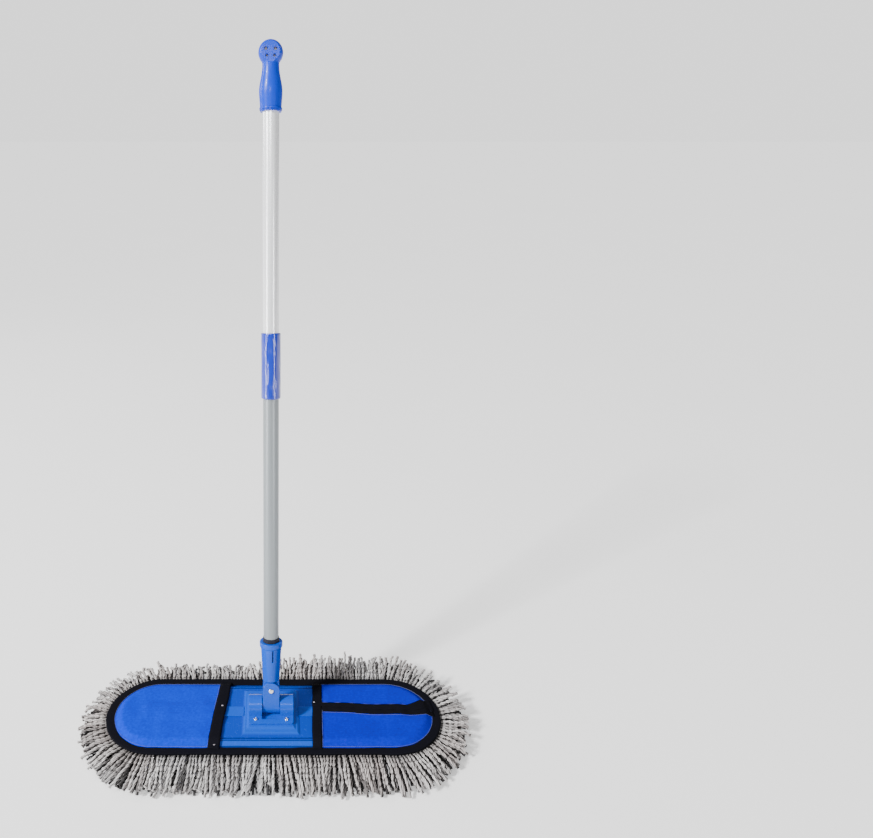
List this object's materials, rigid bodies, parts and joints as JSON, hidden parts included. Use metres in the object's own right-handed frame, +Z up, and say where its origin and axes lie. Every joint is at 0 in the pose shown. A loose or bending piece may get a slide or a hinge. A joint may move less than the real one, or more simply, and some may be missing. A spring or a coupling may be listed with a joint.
{
  "type": "flat mop",
  "caption": "Flat dust mop with a round-ended yarn pad, blue canvas pockets, a moulded plate on a double hinge, and a pole with a sleeved joint and a ball-topped grip.",
  "frame": {"origin": "on the floor under the middle of the pad, at the centre of the pad's underside", "axes": "+Z up, +X along the pad towards the pocket with the slit, +Y to the rear, where the pole leans at rest"},
  "size_m": [0.665, 0.375, 1.0814],
  "materials": {
    "moulded_blue": "glossy moulded plastic with sink marks and light scuffs",
    "grip_blue": "glossy moulded plastic",
    "sleeve_blue": "glossy shrunk sleeve with vertical waves",
    "upper_pole_metal": "satin, light grey",
    "lower_pole_metal": "satin, mid grey",
    "fastener_steel": "bright zinc plated",
    "collar_black": "matt black rubber",
    "plug_grey": "matt moulded plastic",
    "pocket_canvas": "plain-woven blue canvas",
    "backing_canvas": "plain-woven dark blue canvas",
    "black_tape": "ribbed black binding tape",
    "grey_yarn": "twisted cut cotton yarn, grey and off-white"
  },
  "bodies": {
    "head": {"pad_backing": "backing_canvas", "edge_tape": "black_tape", "yarn_underside": "grey_yarn", "fringe_front": "grey_yarn", "fringe_rear": "grey_yarn", "fringe_left": "grey_yarn", "fringe_right": "grey_yarn", "plain_pocket": "pocket_canvas", "plain_mouth_tape": "black_tape", "split_pocket_rear": "pocket_canvas", "split_pocket_front": "pocket_canvas", "split_mouth_tape_rear": "black_tape", "split_mouth_tape_front": "black_tape", "slit_tape_rear": "black_tape", "slit_tape_front": "black_tape", "base_plate": "moulded_blue", "pivot_bracket": "moulded_blue", "bracket_screws": "fastener_steel", "pivot_shaft": "fastener_steel"},
    "yoke_part": {"yoke": "moulded_blue", "hinge_rivet": "fastener_steel", "rivet_washer": "fastener_steel"},
    "socket_part": {"socket": "moulded_blue"},
    "lower_handle": {"pole_collar": "collar_black", "lower_pole": "lower_pole_metal", "pole_plug": "plug_grey", "joint_sleeve": "sleeve_blue"},
    "upper_handle": {"upper_pole": "upper_pole_metal", "hand_grip": "grip_blue"}
  },
  "joints": [
    {"name": "fore_aft_hinge", "type": "hinge", "parent": "head", "child": "yoke_part", "pos_m": [-0.004, 0, 0.052], "axis": [1, 0, 0], "range_deg": [-63, 87]},
    {"name": "side_hinge", "type": "hinge", "parent": "yoke_part", "child": "socket_part", "pos_m": [-0.004, 0.00665, 0.0833], "axis": [0, -0.9781, 0.2079], "range_deg": [-75, 75]},
    {"name": "pole_in_socket", "type": "slide", "parent": "socket_part", "child": "lower_handle", "axis": [0, 0.2079, 0.9781], "range_m": [0, 0.05]},
    {"name": "pole_halves", "type": "slide", "parent": "lower_handle", "child": "upper_handle", "axis": [0, 0.2079, 0.9781], "range_m": [0, 0.055]}
  ]
}
